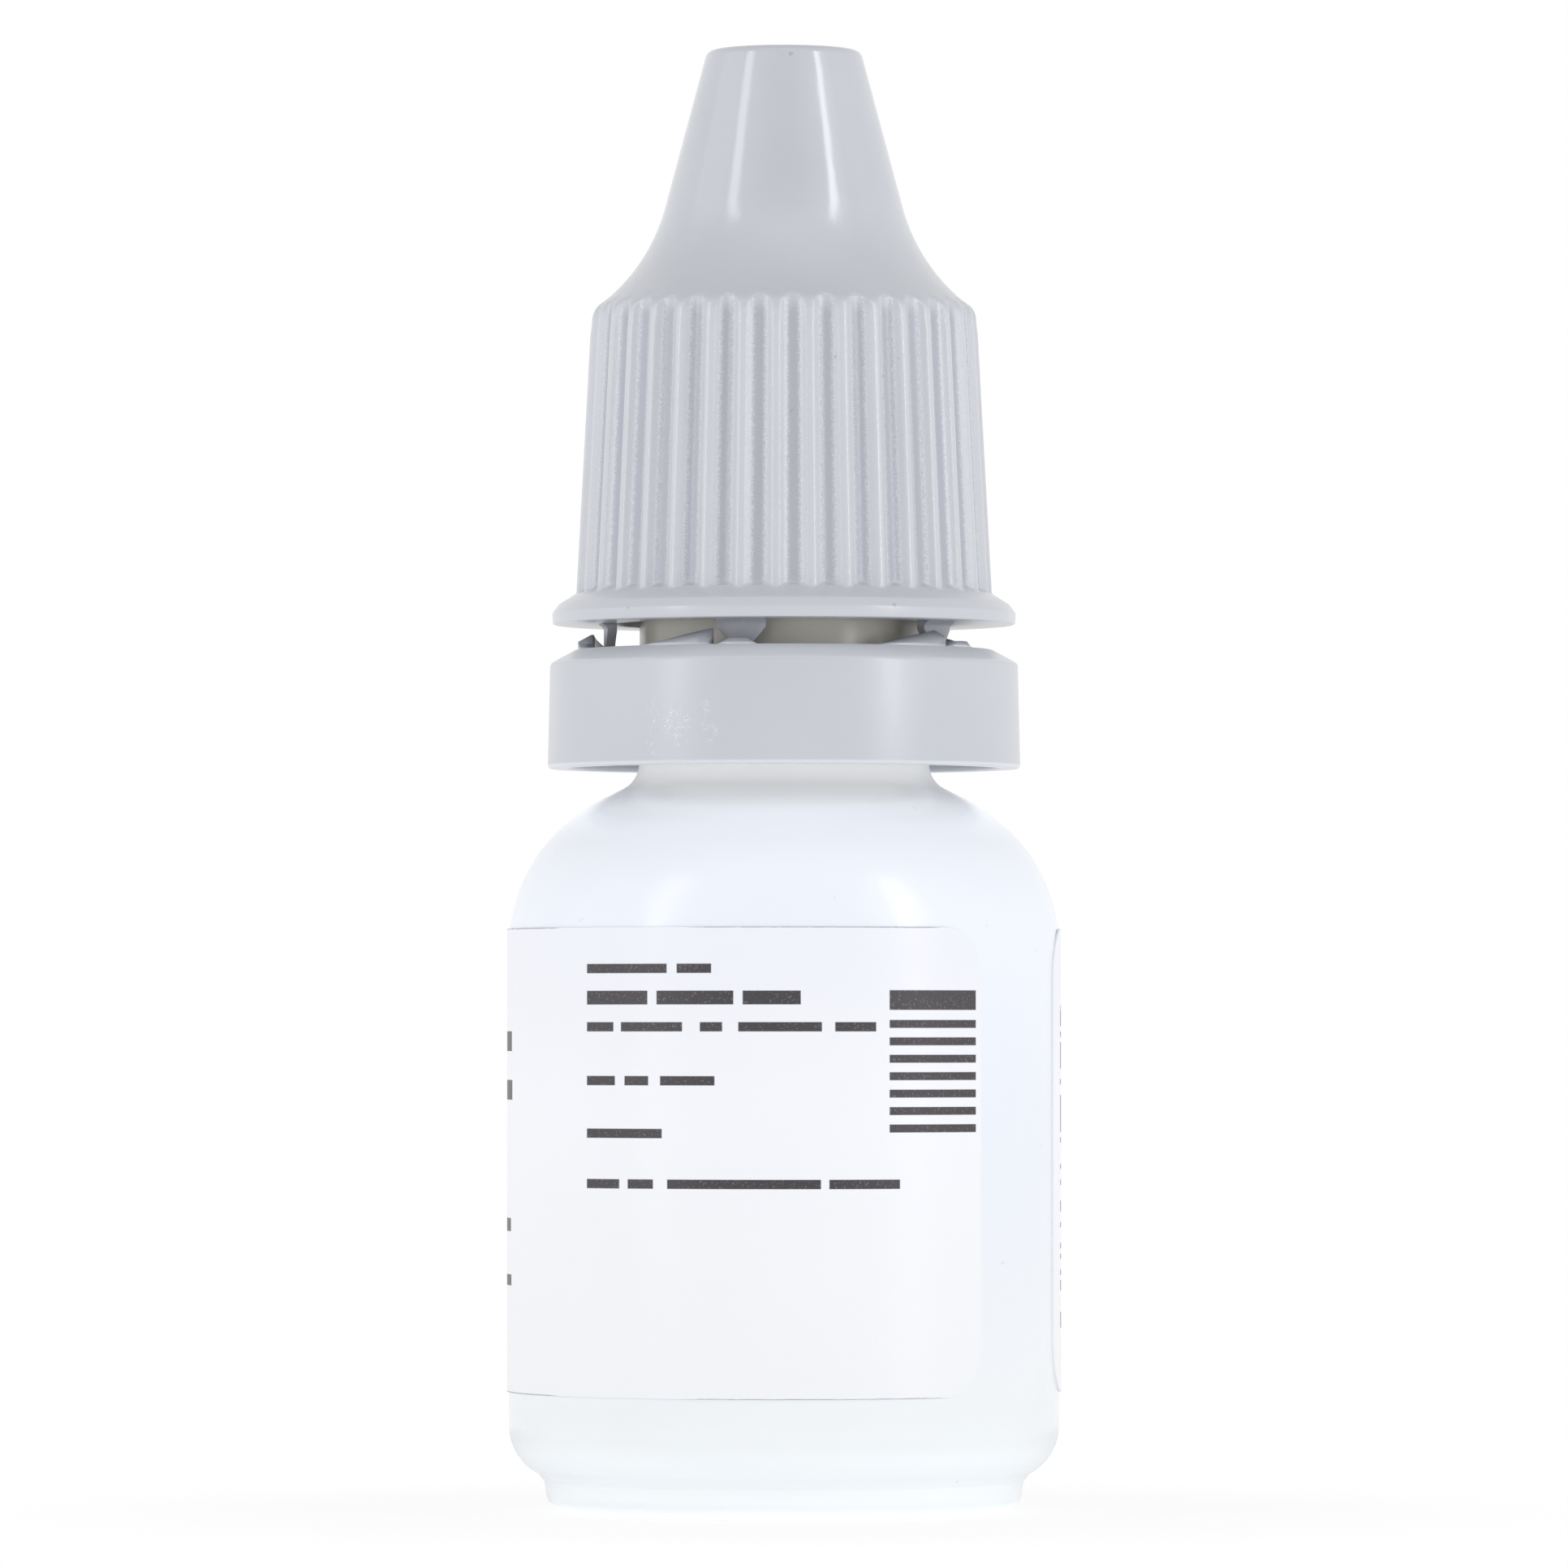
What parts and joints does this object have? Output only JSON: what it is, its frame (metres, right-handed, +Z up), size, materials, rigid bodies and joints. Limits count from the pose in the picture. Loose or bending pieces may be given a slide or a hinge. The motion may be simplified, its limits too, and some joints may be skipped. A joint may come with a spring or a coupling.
{
  "type": "eye drop bottle",
  "caption": "Squeezable dropper bottle with a press-in nozzle, a ribbed screw cap on a break-off tamper ring and a wrap-round label.",
  "frame": {"origin": "centre of the foot, on the surface that the bottle stands on", "axes": "+Z up along the bottle's axis, -Y towards the front as pictured, +X to the right"},
  "size_m": [0.0252, 0.0252, 0.0666],
  "materials": {
    "bottle_white": "soft satin, white low-density polyethylene, slightly milky",
    "dropper_natural": "natural polyethylene, milky and slightly see-through",
    "label_white": null,
    "cap_grey": "pale cool grey, satin, with a spark-eroded grain in the grip grooves",
    "bridge_grey": "pale grey, satin, a little see-through where it is thin"
  },
  "bodies": {
    "bottle": {"bottle": "bottle_white", "dropper_tip": "dropper_natural", "label": "label_white"},
    "ring": {"tamper_ring": "cap_grey", "break_bridges": "bridge_grey"},
    "cap": {"screw_cap": "cap_grey"}
  },
  "joints": [
    {"name": "cap_turn", "type": "hinge", "parent": "bottle", "child": "ring", "pos_m": [0, 0, 0.036], "axis": [0, 0, 1], "range_deg": [0, 2880]},
    {"name": "cap_rise", "type": "slide", "parent": "ring", "child": "cap", "axis": [0, 0, 1], "range_m": [0, 0.024]}
  ],
  "couplings": [
    {"joint": "cap_rise", "follows": "cap_turn", "m_per_rad": 0.00047746}
  ]
}
